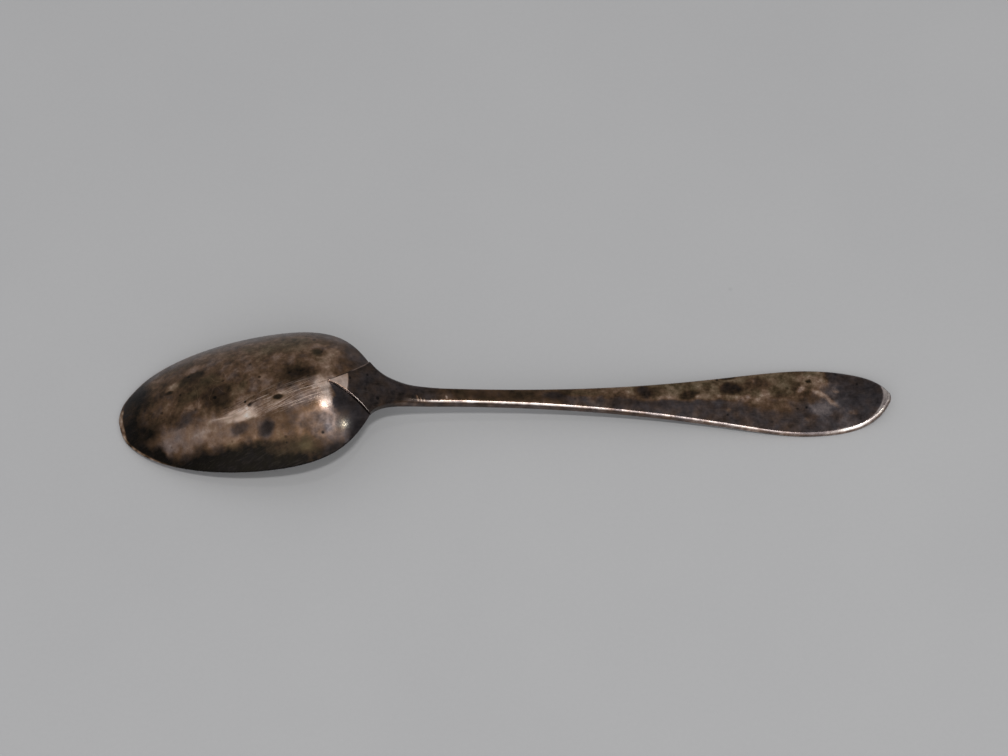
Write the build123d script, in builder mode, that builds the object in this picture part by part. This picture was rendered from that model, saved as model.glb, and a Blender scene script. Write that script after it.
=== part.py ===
"""Teaspoon lying face down: a dished bowl and a forged handle, lapped and soldered at a pointed drop."""

import os
from math import cos, radians, sin, sqrt, tan

from build123d import *

# Driving sizes, in millimetres and degrees. X runs from the bowl's tip to the handle's end, and Z is up.
spoon_length = 140.0  # tip to end, as it lies on the table
bowl_length = 46.9  # tip to the joint with the handle, along the rim
bowl_width = 27.8  # across the rim at its widest
bowl_depth = 6.5  # rim to the back of the bowl
bowl_wall = 0.8
bowl_tilt = 11.8  # rise of the rim from the table towards the handle
rim_height = 0.4  # upright edge of the rim
rim_round = 0.15  # rounding of the rim's edges
neck_width = 10.5  # across the joint
neck_wall = 1.3  # wall of the bowl at the joint
drop_length = 6.2  # joint to the drop's point, along the rim
drop_thickness = 0.4  # step of the drop above the bowl's back
solder_thickness = 0.1
stem_width = 3.0  # at the waist, the narrowest place of the handle
stem_thickness = 2.0
stem_slope = 4.7  # fall of the straight stem towards the table
blade_width = 13.4
blade_thickness = 1.2
end_thickness = 1.0
end_lift = 1.7  # rise of the pointed end off the table
back_crown = 0.2  # height of the middle of the handle's back above its edges
back_round = 0.45  # rounding of the handle's back edges
face_round = 0.15  # rounding of the handle's face edges
point_round = 1.0  # rounding of the end's point, seen from above

# Rounding lifts the bowl's tip and draws the end's point back by these amounts
tip_rise = 0.027
point_setback = 0.17

# Stations along the handle, as shares of its length from the joint to the end
neck_share = 0.13
waist_share = 0.186
bend_share = 0.77
widest_share = 0.837
flat_share = 0.862
curl_share = 0.905
back_shares = (0.3, 0.45, 0.6, 0.72, 0.82, 0.91, 1.01)

# The bowl is a dome on an upright rim. The dome is part of a surface of revolution, about an axis below the
# rim and parallel to it, and springs from the brow at the top of the rim.
half_width = bowl_width / 2
dome_height = bowl_depth - rim_height
axis_depth = (half_width**2 - dome_height**2) / (2 * dome_height)
crest_radius = axis_depth + dome_height
joint_radius = sqrt(axis_depth**2 + (neck_width / 2) ** 2)
widest_at = 0.628 * bowl_length
front_length = widest_at * crest_radius / half_width
quarter_ellipse = 0.5523  # share of a radius that makes a curve's control arm draw a quarter of an ellipse
shoulder_length = bowl_length - widest_at
shoulder_fullness = 0.66 * shoulder_length
joint_fullness = 0.22 * shoulder_length
joint_fall = 32.5  # slope of the bowl's back at the joint, against the axis
joint_run = Vector(cos(radians(joint_fall)), -sin(radians(joint_fall)))

# Places in the frame of the whole spoon
tilt_cos = cos(radians(bowl_tilt))
tilt_sin = sin(radians(bowl_tilt))
tip = Vector(-spoon_length / 2, 0, rim_height * tilt_cos - tip_rise)
end_x = spoon_length / 2
brow_plane = Plane(origin=tip, x_dir=(tilt_cos, 0, tilt_sin), z_dir=(-tilt_sin, 0, tilt_cos))
rim_plane = brow_plane.offset(-rim_height)
turning_plane = brow_plane.offset(-axis_depth)  # holds the axis of the bowl; profiles turn up from it
bowl_axis = Axis(turning_plane.origin, turning_plane.x_dir)
joint = rim_plane.from_local_coords((bowl_length, 0, 0))
handle_length = end_x - joint.X
clear_height = 2 * bowl_depth + bowl_length * tilt_sin  # above everything


def along(share):
    """X at a share of the handle's length from the joint."""
    return joint.X + share * handle_length


def shoulder_points(inset, joint_inset):
    """Control points of the bowl's back from its widest place to the joint, moved inwards by the insets."""
    crest = crest_radius - inset
    last = Vector(bowl_length, joint_radius) + Vector(joint_run.Y, -joint_run.X) * joint_inset
    before = last - joint_run * joint_fullness
    return [Vector(widest_at, crest), Vector(widest_at + shoulder_fullness, crest), before, last]


def draw_dish(inset, joint_inset):
    """Profile of the dish moved inwards by the insets: distance along the rim against radius from the axis."""
    shoulder = shoulder_points(inset, joint_inset)
    corners = [shoulder[3]]
    if inset != 0:
        corners.append(shoulder[3] + joint_run * abs(joint_inset))
    corners.append(Vector(corners[-1].X, 0))
    corners.append(Vector(widest_at - front_length + inset, 0))
    nose = corners[-1]
    above_nose = nose + Vector(0, quarter_ellipse * shoulder[0].Y)
    before_widest = shoulder[0] - Vector(quarter_ellipse * (widest_at - nose.X), 0)
    Bezier(nose, above_nose, before_widest, shoulder[0])
    Bezier(*shoulder)
    Polyline(*corners)


def face_height(x):
    """Height of the handle's face above the table, from the end of the neck to the end of the handle."""
    fall = tan(radians(stem_slope))
    bend_length = along(flat_share) - along(bend_share)
    if x < along(bend_share):
        return fall * (along(bend_share) + bend_length / 2 - x)
    if x < along(flat_share):
        return fall * (along(flat_share) - x) ** 2 / (2 * bend_length)
    if x < along(curl_share):
        return 0
    return end_lift * ((x - along(curl_share)) / (end_x - along(curl_share))) ** 2


def thickness_at(share):
    """Thickness of the handle, tapering from stem to blade and on to the end."""
    if share < widest_share:
        taper = (share - neck_share) / (widest_share - neck_share)
        return stem_thickness + (blade_thickness - stem_thickness) * taper
    taper = (share - widest_share) / (1 - widest_share)
    return blade_thickness + (end_thickness - blade_thickness) * taper


def half_width_at(share):
    """Rough half width of the handle from the waist on, for the crown of its back."""
    swell = (min(share, widest_share) - waist_share) / (widest_share - waist_share)
    return (stem_width + (blade_width - stem_width) * swell**2) / 2


# Outline of the handle from above: flare, waist, blade and pointed end. The flare passes through the corners
# of the joint and runs on, so that the handle's edges can be rounded before the drop is cut to shape.
drop_point = brow_plane.from_local_coords((bowl_length - drop_length, 0, dome_height)).X
corner = Vector(joint.X, neck_width / 2)
waist = Vector(along(waist_share), stem_width / 2)
widest = Vector(along(widest_share), blade_width / 2)
point = Vector(end_x + point_setback, 0)
with BuildSketch() as handle_plan:
    with BuildLine():
        flare = waist.X - corner.X
        swell = widest.X - waist.X
        ending = point.X - widest.X
        flare_top = Vector(corner.X - 0.04 * flare, 1.21 * corner.Y)
        below_top = Vector(corner.X + 0.098 * flare, 1.3 * waist.Y)
        run_on = (corner.X - drop_point) / (below_top.X - flare_top.X)
        fan = flare_top + (flare_top - below_top) * run_on
        Polyline((fan.X, 0), fan, flare_top)
        Bezier(flare_top, below_top, (corner.X + 0.31 * flare, waist.Y), waist)
        Bezier(waist, (waist.X + 0.6 * swell, waist.Y), (widest.X - 0.17 * swell, widest.Y), widest)
        Bezier(widest, (widest.X + 0.64 * ending, widest.Y), (point.X - 0.13 * ending, 0.52 * widest.Y), point)
        mirror(about=Plane.XZ)
    make_face()
    fillet(handle_plan.vertices().sort_by(Axis.X)[-1], point_round)

# Outline of the drop: two arcs that meet in a point, run on past the corners and closed round the handle
with BuildSketch() as drop_plan:
    with BuildLine():
        drop_side = ThreePointArc((drop_point, 0), ((drop_point + corner.X) / 2, 0.4 * corner.Y), corner)
        beyond = corner + (drop_side % 1) * bowl_width
        Polyline(corner, beyond, (end_x + blade_width, beyond.Y), (end_x + blade_width, 0))
        mirror(about=Plane.XZ)
    make_face()

# Bowl: the dome, cut off at the brow and carried down to the rim, less the dish inside
with BuildPart() as bowl:
    with BuildSketch(turning_plane):
        with BuildLine():
            draw_dish(0, 0)
        make_face()
    revolve(axis=bowl_axis, revolution_arc=180)
    split(bisect_by=brow_plane, keep=Keep.TOP)
    extrude(bowl.faces().sort_by(Axis(tip, brow_plane.z_dir))[0], amount=rim_height)
    with BuildSketch(turning_plane):
        with BuildLine():
            draw_dish(bowl_wall, neck_wall)
        make_face()
    revolve(axis=bowl_axis, revolution_arc=180, mode=Mode.SUBTRACT)
    rim = bowl.faces().sort_by(Axis(tip, brow_plane.z_dir))[0]
    fillet(rim.edges().filter_by(GeomType.LINE, reverse=True), rim_round)

# Handle: drop, neck, stem and blade in one piece
lap = solder_thickness + drop_thickness
with BuildPart() as handle:
    # Drop and neck: turned about the axis of the bowl, so that the drop lies evenly on its back
    with BuildSketch(turning_plane):
        with BuildLine():
            lapped = shoulder_points(-lap, -lap)
            neck_x = along(neck_share)
            neck_back = brow_plane.to_local_coords(Vector(neck_x, 0, face_height(neck_x) + stem_thickness))
            neck_top = Vector(neck_back.X, neck_back.Z + axis_depth)
            stem_run = Vector(1, -tan(radians(stem_slope + bowl_tilt)))
            neck_length = neck_top.X - lapped[3].X
            before_neck = lapped[3] + joint_run * 0.42 * neck_length
            after_neck = neck_top - stem_run * 0.42 * neck_length
            Bezier(*lapped)
            Bezier(lapped[3], before_neck, after_neck, neck_top)
            Polyline(neck_top, (neck_top.X, 0), (widest_at, 0), lapped[0])
        make_face()
    revolve(axis=bowl_axis, revolution_arc=180)

    # Stem and blade: sections with a crowned back, wider and deeper than the finished handle
    neck_origin = turning_plane.from_local_coords((neck_top.X, 0, 0))
    with BuildSketch(Plane(origin=neck_origin, x_dir=(0, 1, 0), z_dir=rim_plane.x_dir)):
        with BuildLine():
            reach = 0.85 * neck_top.Y
            edge = sqrt(neck_top.Y**2 - reach**2)
            low = edge - 2.5 * stem_thickness
            ThreePointArc((-reach, edge), (0, neck_top.Y), (reach, edge))
            Polyline((reach, edge), (reach, low), (-reach, low), (-reach, edge))
        make_face()
    for share in back_shares:
        x = along(share)
        crest = face_height(x) + thickness_at(share)
        reach = 0.6 * blade_width
        edge = crest - back_crown * (reach / half_width_at(share)) ** 2
        low = edge - 2.5 * stem_thickness
        with BuildSketch(Plane(origin=(x, 0, 0), x_dir=(0, 1, 0), z_dir=(1, 0, 0))):
            with BuildLine():
                ThreePointArc((-reach, edge), (0, crest), (reach, edge))
                Polyline((reach, edge), (reach, low), (-reach, low), (-reach, edge))
            make_face()
    loft()

    # Trim to the outline from above, round the back's long edges, then cut the drop, whose edge stays crisp
    with BuildSketch():
        add(handle_plan.sketch)
    extrude(amount=clear_height, mode=Mode.INTERSECT)
    long_faces = handle.faces().filter_by(lambda face: face.bounding_box().max.X > along(neck_share / 2))
    sides = long_faces.filter_by(lambda face: abs(face.normal_at().Z) < 0.1)
    backs = long_faces.filter_by(lambda face: face.normal_at().Z > 0.5)
    fillet((sides.edges() & backs.edges()).sort_by(Axis.X), back_round)
    with BuildSketch():
        add(drop_plan.sketch)
    extrude(amount=clear_height, mode=Mode.INTERSECT)

    # Cut the face: neck curve, straight stem, bend, flat that rests on the table, turned-up end
    with BuildSketch(Plane.XZ.offset(-blade_width)):
        with BuildLine():
            joint_low = Vector(joint.X, joint.Z)
            neck_low = Vector(neck_x, face_height(neck_x))
            bend_low = Vector(along(bend_share), face_height(along(bend_share)))
            stem_fall = Vector(1, -tan(radians(stem_slope)))
            neck_span = neck_low.X - joint_low.X
            after_joint = joint_low + Vector(0.26, -0.18) * neck_span
            flat_start = Vector(along(flat_share), 0)
            flat_end = Vector(along(curl_share), 0)
            end_low = Vector(point.X, end_lift)
            below = -clear_height
            Bezier(joint_low, after_joint, neck_low - stem_fall * 0.41 * neck_span, neck_low)
            Line(neck_low, bend_low)
            Bezier(bend_low, ((bend_low.X + flat_start.X) / 2, 0), flat_start)
            Line(flat_start, flat_end)
            Bezier(flat_end, ((flat_end.X + end_low.X) / 2, 0), end_low)
            Polyline(end_low, (end_low.X, below), (joint.X, below), joint_low)
        make_face()
    extrude(amount=2 * blade_width, mode=Mode.SUBTRACT)

    # Rebate for the bowl and its solder
    with BuildSketch(turning_plane):
        with BuildLine():
            draw_dish(-solder_thickness, -solder_thickness)
        make_face()
    revolve(axis=bowl_axis, revolution_arc=180, mode=Mode.SUBTRACT)

    # Round the long edges of the face
    long_faces = handle.faces().filter_by(lambda face: face.bounding_box().max.X > along(neck_share / 2))
    sides = long_faces.filter_by(lambda face: abs(face.normal_at().Z) < 0.1)
    undersides = long_faces.filter_by(lambda face: face.normal_at().Z < -0.5)
    fillet((sides.edges() & undersides.edges()).sort_by(Axis.X), face_round)

# Solder: a thin film between the drop and the bowl's back, and across the butt of the neck
with BuildPart() as solder_seam:
    with BuildSketch(turning_plane):
        with BuildLine():
            draw_dish(-solder_thickness, -solder_thickness)
        make_face()
    revolve(axis=bowl_axis, revolution_arc=180)
    with BuildSketch(turning_plane):
        with BuildLine():
            draw_dish(0, 0)
        make_face()
    revolve(axis=bowl_axis, revolution_arc=180, mode=Mode.SUBTRACT)
    split(bisect_by=rim_plane, keep=Keep.TOP)
    with BuildSketch():
        add(handle_plan.sketch)
    extrude(amount=clear_height, mode=Mode.INTERSECT)
    with BuildSketch():
        add(drop_plan.sketch)
    extrude(amount=clear_height, mode=Mode.INTERSECT)

os.makedirs("parts", exist_ok=True)
bowl.part.label = "bowl"
handle.part.label = "handle"
solder_seam.part.label = "solder_seam"
export_step(bowl.part, "parts/bowl.step")
export_step(handle.part, "parts/handle.step")
export_step(solder_seam.part, "parts/solder_seam.step")
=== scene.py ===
"""Tarnished silver teaspoon lying face down on pale paper, lit from above."""

from math import cos, pi, radians, sin, tan

import bmesh
import bpy
import numpy as np
from mathutils import Matrix, Vector, noise


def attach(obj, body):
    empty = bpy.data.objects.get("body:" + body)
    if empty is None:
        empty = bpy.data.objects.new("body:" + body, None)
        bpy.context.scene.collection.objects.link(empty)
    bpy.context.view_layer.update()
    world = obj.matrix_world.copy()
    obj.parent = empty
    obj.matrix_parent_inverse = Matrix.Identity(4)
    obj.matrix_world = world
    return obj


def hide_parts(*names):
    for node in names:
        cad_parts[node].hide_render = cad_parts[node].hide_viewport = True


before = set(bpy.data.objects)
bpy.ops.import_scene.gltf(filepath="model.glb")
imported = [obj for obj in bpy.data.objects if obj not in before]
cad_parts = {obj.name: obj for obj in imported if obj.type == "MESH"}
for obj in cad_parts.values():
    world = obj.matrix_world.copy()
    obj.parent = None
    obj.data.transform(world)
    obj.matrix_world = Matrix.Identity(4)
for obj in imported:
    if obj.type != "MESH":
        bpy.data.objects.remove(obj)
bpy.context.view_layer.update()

MM = 0.001  # a millimetre in metres; lengths are in millimetres unless a comment says metres

# Sizes of the spoon. X runs from the bowl's tip to the handle's end, and Z is up from the table.
SPOON_LENGTH = 140.0
BOWL_LENGTH = 46.9  # tip to the joint with the handle, along the rim
BOWL_WIDTH = 27.8
BOWL_DEPTH = 6.5
BOWL_WALL = 0.8
BOWL_TILT = radians(11.8)
RIM_HEIGHT = 0.4  # upright edge of the rim, up to the brow where the dome begins
NECK_WIDTH = 10.5  # across the joint
NECK_WALL = 1.3  # wall of the bowl at the joint
DROP_LENGTH = 6.2  # joint to the drop's point, along the rim
DROP_STEP = 0.5  # back of the drop above the back of the bowl
SOLDER = 0.1
STEM_WIDTH = 3.0
STEM_THICKNESS = 2.0
STEM_SLOPE = radians(4.7)
BLADE_WIDTH = 13.4
BLADE_THICKNESS = 1.2
END_THICKNESS = 1.0
END_LIFT = 1.7  # rise of the pointed end off the table
BACK_CROWN = 0.2  # middle of the handle's back above its edges
TIP_RISE = 0.027  # lift of the bowl's tip by the rounding of the rim

# Roundings of the handle. The back's edges are crisp on the drop and fuller further on.
DROP_ROUND = 0.16
STEM_EXTRA_ROUND = 0.29
NECK_EXTRA_ROUND = 0.5
BLADE_EXTRA_ROUND = 0.2
CAP_ROUND = 0.62  # at the rounded point of the blade
FACE_ROUND = 0.2
REBATE_ROUND = 0.02  # lower edge of the drop
POINT_ROUND = 2.2  # point of the blade, seen from above
POINT_SETBACK = 0.19  # how far that rounding draws the point back

# Shares of the handle's length, from the joint to the end
NECK_SHARE = 0.13
WAIST_SHARE = 0.186
BEND_SHARE = 0.77
WIDEST_SHARE = 0.837
FLAT_SHARE = 0.862
CURL_SHARE = 0.905

# Wear on the rim near the bowl's tip: most that is gone, where along the rim, and how far it reaches
FAR_SIDE_WEAR = (0.5, 2.4, 2.4)
NEAR_SIDE_WEAR = (0.6, 0.4, 0.8)
TIP_WEAR = (0.2, 0.0, 0.6)

# Unevenness of the bowl's back: height and width of the dents
BROAD_DENTS = (0.035, 9.0)
SMALL_DENTS = (0.005, 3.0)
DENT_MARGIN = 4  # no dents nearer the joint than this

# Points along the curves, rings of points in the bowl, and rounds of a search
DISH_POINTS = 240
RIM_POINTS = 250
DROP_POINTS = 46
NECK_POINTS = 160
STEM_POINTS = 260
END_POINTS = 60
CAP_POINTS = 12
FACE_POINTS = 60
JOINT_POINTS = 24
OUTER_RINGS = 90
INNER_RINGS = 36
ROUNDS = 30

# The bowl's back is turned about an axis below the rim
HALF_WIDTH = BOWL_WIDTH / 2
DOME_HEIGHT = BOWL_DEPTH - RIM_HEIGHT
AXIS_DEPTH = (HALF_WIDTH**2 - DOME_HEIGHT**2) / (2 * DOME_HEIGHT)
CREST_RADIUS = AXIS_DEPTH + DOME_HEIGHT
JOINT_RADIUS = np.hypot(AXIS_DEPTH, NECK_WIDTH / 2)
WIDEST_AT = 0.628 * BOWL_LENGTH
FRONT_LENGTH = WIDEST_AT * CREST_RADIUS / HALF_WIDTH
SHOULDER_LENGTH = BOWL_LENGTH - WIDEST_AT
JOINT_FALL = radians(32.5)  # slope of the bowl's back at the joint, against the axis
JOINT_RUN = np.array([cos(JOINT_FALL), -sin(JOINT_FALL)])

# Places in the frame of the whole spoon
TILT_COS = cos(BOWL_TILT)
TILT_SIN = sin(BOWL_TILT)
TIP = np.array([-SPOON_LENGTH / 2, 0, RIM_HEIGHT * TILT_COS - TIP_RISE])
JOINT_X = TIP[0] + BOWL_LENGTH * TILT_COS + RIM_HEIGHT * TILT_SIN
JOINT_Z = TIP[2] + BOWL_LENGTH * TILT_SIN - RIM_HEIGHT * TILT_COS
END_X = SPOON_LENGTH / 2
HANDLE_LENGTH = END_X - JOINT_X
DROP_X = TIP[0] + (BOWL_LENGTH - DROP_LENGTH) * TILT_COS - DOME_HEIGHT * TILT_SIN


# Curves


def along(share):
    """X at a share of the handle's length from the joint."""
    return JOINT_X + share * HANDLE_LENGTH


def bezier(first, second, third, last, count):
    """Points along a cubic curve."""
    t = np.linspace(0, 1, count)[:, None]
    corners = [np.array(p, float) for p in (first, second, third, last)]
    weights = [(1 - t) ** 3, 3 * (1 - t) ** 2 * t, 3 * (1 - t) * t**2, t**3]
    return sum(w * p for w, p in zip(weights, corners))


def smooth(start, end, value):
    """0 at the start and before it, 1 at the end and past it, and a smooth slope between."""
    t = np.clip((np.asarray(value, float) - start) / (end - start), 0, 1)
    return t * t * (3 - 2 * t)


def toward(values, target, share):
    """Values moved by a share of the way to a target."""
    return values + (target - values) * share


def ripple(points, size, shift):
    """Smooth noise from about -1 to 1 at each point, with bumps of the given size."""
    offset = Vector((shift, -shift, 2 * shift))
    return np.array([noise.noise(Vector(p) / size + offset) for p in points])


def face_height(x):
    """Height of the handle's face above the table, past the neck."""
    x = np.asarray(x, float)
    fall = tan(STEM_SLOPE)
    bend, flat, curl = along(BEND_SHARE), along(FLAT_SHARE), along(CURL_SHARE)
    straight = fall * ((bend + flat) / 2 - x)
    bending = fall * (flat - x) ** 2 / (2 * (flat - bend))
    curling = END_LIFT * ((x - curl) / (END_X - curl)) ** 2
    return np.select([x < bend, x < flat, x < curl], [straight, bending, 0 * x], curling)


NECK_X = along(NECK_SHARE)
NECK_Z = float(face_height(NECK_X))


def neck_face():
    """Side view of the face's curve from the joint to the end of the neck."""
    span = NECK_X - JOINT_X
    start = np.array([JOINT_X, JOINT_Z])
    end = np.array([NECK_X, NECK_Z])
    fall = np.array([1, -tan(STEM_SLOPE)])
    after_start = start + np.array([0.26, -0.18]) * span
    before_end = end - fall * 0.41 * span
    return bezier(start, after_start, before_end, end, FACE_POINTS)


# Turned surfaces: the bowl inside and out, the solder, and the back of the drop and the neck


def dish_profile(lap, joint_lap, with_neck=False):
    """Distance along the rim against radius from the axis, for the bowl's back moved outwards."""
    angle = np.linspace(0, pi / 2, DISH_POINTS)
    front_u = WIDEST_AT - (FRONT_LENGTH + lap) * np.cos(angle)
    front_r = (CREST_RADIUS + lap) * np.sin(angle)
    outwards = np.array([-JOINT_RUN[1], JOINT_RUN[0]])
    crest = np.array([WIDEST_AT, CREST_RADIUS + lap])
    last = np.array([BOWL_LENGTH, JOINT_RADIUS]) + outwards * joint_lap
    after_crest = crest + np.array([0.66 * SHOULDER_LENGTH, 0])
    before_last = last - JOINT_RUN * 0.22 * SHOULDER_LENGTH
    shoulder = bezier(crest, after_crest, before_last, last, DISH_POINTS)
    u = np.concatenate([front_u, shoulder[1:, 0]])
    r = np.concatenate([front_r, shoulder[1:, 1]])
    if with_neck:
        rise = NECK_Z + STEM_THICKNESS - TIP[2]
        reach = NECK_X - TIP[0]
        top_u = reach * TILT_COS + rise * TILT_SIN
        top_r = rise * TILT_COS - reach * TILT_SIN + AXIS_DEPTH
        top = np.array([top_u, top_r])
        span = top[0] - last[0]
        stem_run = np.array([1, -tan(STEM_SLOPE + BOWL_TILT)])
        after_last = last + JOINT_RUN * 0.42 * span
        before_top = top - stem_run * 0.42 * span
        neck = bezier(last, after_last, before_top, top, NECK_POINTS)
        u = np.concatenate([u, neck[1:, 0]])
        r = np.concatenate([r, neck[1:, 1]])
    if lap < 0:
        run_out = last + JOINT_RUN * abs(joint_lap)
        u = np.append(u, run_out[0])
        r = np.append(r, run_out[1])
    return u, r


OUTSIDE = dish_profile(0, 0)
INSIDE = dish_profile(-BOWL_WALL, -NECK_WALL)
LAPPED = dish_profile(DROP_STEP, DROP_STEP, with_neck=True)
FILM_TOP = dish_profile(SOLDER, SOLDER)


def dish_height(profile, u, v):
    """Height above the brow of a turned surface, at a place in the plane of the rim."""
    radius = np.interp(u, profile[0], profile[1], left=0, right=0)
    return np.sqrt(np.maximum(radius**2 - v**2, 0)) - AXIS_DEPTH


def to_spoon(u, v, h):
    """Places along, across and above the tilted rim, in the frame of the spoon."""
    x = TIP[0] + u * TILT_COS - h * TILT_SIN
    z = TIP[2] + u * TILT_SIN + h * TILT_COS
    return np.stack([x, v + 0 * u, z], axis=-1)


def dish_top(profile, x, y):
    """Height above the table of a turned surface."""
    h = np.zeros_like(x)
    for _ in range(ROUNDS):
        u = (x - TIP[0] + h * TILT_SIN) / TILT_COS
        radius = np.interp(u, profile[0], profile[1])
        h = np.sqrt(np.maximum(radius**2 - y**2, 0)) - AXIS_DEPTH
    return TIP[2] + u * TILT_SIN + h * TILT_COS


# Meshes

MERGE_DISTANCE = 1e-4


def make_piece(name, points, faces, attributes):
    """A smooth mesh object in metres, with a number at each point for every named attribute."""
    mesh = bpy.data.meshes.new(name)
    mesh.from_pydata([tuple(p * MM) for p in points], [], faces)
    mesh.polygons.foreach_set("use_smooth", [True] * len(mesh.polygons))
    for title, values in attributes.items():
        layer = mesh.attributes.new(title, "FLOAT", "POINT")
        layer.data.foreach_set("value", np.asarray(values, np.float32))
    # Points that meet at the ends of the handle become one, which closes the skin
    skin = bmesh.new()
    skin.from_mesh(mesh)
    bmesh.ops.remove_doubles(skin, verts=skin.verts, dist=MERGE_DISTANCE * MM)
    skin.to_mesh(mesh)
    skin.free()
    mesh.update()
    piece = bpy.data.objects.new(name, mesh)
    bpy.context.scene.collection.objects.link(piece)
    return piece


def bridge(first, second, count):
    """Quads between two closed loops of points that start at these numbers."""
    faces = []
    for k in range(count):
        after = (k + 1) % count
        faces.append((first + k, first + after, second + after, second + k))
    return faces


# Shape of the bowl

BOWL_MIDDLE = np.array([26.0, 0.0])  # where the rings shrink to, in the plane of the rim
BROW_DROP = 0.1  # first ring of the upright rim, below the brow
# Rings round the rim's edge: how far in from the outline, and height
RIM_EDGE = ((0, -0.24), (0.045, -0.355), (0.15, -RIM_HEIGHT))
LIP_SHARE = 0.008  # inner ring of the flat rim: this share of a spoke outside the hollow's edge
FAR_IN = 9.0  # inset given to the hollow, as if far from the rim


def worn_off(u, wear):
    """How much wear has taken at a distance along the rim."""
    most, place, reach = wear
    return most * np.exp(-(((u - place) / reach) ** 2))


def rim_outline():
    """Closed outline of the brow in the plane of the rim: tip, far side, joint, near side."""
    t = np.linspace(0, 1, RIM_POINTS)
    u = BOWL_LENGTH * t**1.8
    v = np.sqrt(np.maximum(np.interp(u, *OUTSIDE) ** 2 - AXIS_DEPTH**2, 0))
    # Wear has made the tip a little blunter, and straighter on the far side
    far_wear = np.minimum(worn_off(u, FAR_SIDE_WEAR), 0.2 * v)
    near_wear = np.minimum(worn_off(u, NEAR_SIDE_WEAR), 0.4 * v)
    blunt = u + worn_off(u, TIP_WEAR)
    far = np.stack([blunt, v - far_wear], axis=1)
    across = np.linspace(v[-1], -v[-1], JOINT_POINTS)[1:-1]
    end = np.stack([np.full(len(across), BOWL_LENGTH), across], axis=1)
    near = np.stack([blunt, near_wear - v], axis=1)[:0:-1]
    return np.concatenate([far, end, near])


def outline_normals(outline):
    """Outward unit normals of a closed outline that runs clockwise."""
    step = np.roll(outline, -1, axis=0) - np.roll(outline, 1, axis=0)
    normal = np.stack([-step[:, 1], step[:, 0]], axis=1)
    return normal / np.linalg.norm(normal, axis=1)[:, None]


def build_bowl():
    """The bowl as one closed skin of rings: back, upright rim, rim edge and hollow.

    Each point also gets two numbers: 1 outside and 0 in the hollow, and its distance in from the rim.
    """
    outline = rim_outline()
    normal = outline_normals(outline)
    count = len(outline)
    spokes = outline - BOWL_MIDDLE
    rings = []

    def add_ring(place, height):
        rings.append(to_spoon(place[:, 0], place[:, 1], height))

    # Back, from the middle out to the brow
    outer_shares = 1 - (1 - np.linspace(0.02, 1, OUTER_RINGS)) ** 1.15
    for share in outer_shares:
        place = BOWL_MIDDLE + spokes * share
        add_ring(place, dish_height(OUTSIDE, place[:, 0], place[:, 1]))

    # Upright rim and its rounded edge
    brow = np.maximum(dish_height(OUTSIDE, outline[:, 0], outline[:, 1]), 0)
    add_ring(outline, brow - BROW_DROP)
    for rim_inset, height in RIM_EDGE:
        add_ring(outline - normal * rim_inset, np.full(count, height))

    # Hollow, whose edge is found on each spoke by halving
    low_share = np.zeros(count)
    high_share = np.ones(count)
    for _ in range(ROUNDS):
        share = (low_share + high_share) / 2
        place = BOWL_MIDDLE + spokes * share[:, None]
        inside = dish_height(INSIDE, place[:, 0], place[:, 1]) > -RIM_HEIGHT
        low_share = np.where(inside, share, low_share)
        high_share = np.where(inside, high_share, share)
    add_ring(BOWL_MIDDLE + spokes * (low_share[:, None] + LIP_SHARE), np.full(count, -RIM_HEIGHT))
    for share in np.linspace(0.995, 0.03, INNER_RINGS):
        place = BOWL_MIDDLE + spokes * (low_share[:, None] * share)
        add_ring(place, dish_height(INSIDE, place[:, 0], place[:, 1]))

    # Skin
    top = to_spoon(*BOWL_MIDDLE, dish_height(OUTSIDE, *BOWL_MIDDLE))
    bottom = to_spoon(*BOWL_MIDDLE, dish_height(INSIDE, *BOWL_MIDDLE))
    points = np.concatenate(rings + [top[None], bottom[None]])
    faces = []
    for k in range(len(rings) - 1):
        faces += bridge(k * count, (k + 1) * count, count)
    last = (len(rings) - 1) * count
    pole = len(rings) * count
    for k in range(count):
        after = (k + 1) % count
        faces.append((pole, after, k))
        faces.append((pole + 1, last + k, last + after))

    back_end = OUTER_RINGS * count
    outside = np.zeros(len(points))
    outside[: back_end + 3 * count] = 1
    outside[pole] = 1
    inset = np.full(len(points), FAR_IN)
    reach = np.linalg.norm(spokes, axis=1)
    inset[:back_end] = np.concatenate([(1 - share) * reach for share in outer_shares])
    inset[back_end : back_end + 4 * count] = 0
    return points, faces, outside, inset


def dent_back(points, outside):
    """Dents the bowl's back a little, but not under the drop."""
    uneven = 0
    for (height, width), shift in ((BROAD_DENTS, 3), (SMALL_DENTS, 8)):
        uneven = uneven + height * ripple(points, width, shift)
    clear_of_drop = smooth(0, 3, JOINT_X - DENT_MARGIN - points[:, 0])
    points[:, 2] += uneven * outside * clear_of_drop


# Shape of the handle

JOINT_MARGIN = 0.05  # the underside changes from the drop to the neck this far before the joint


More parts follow.
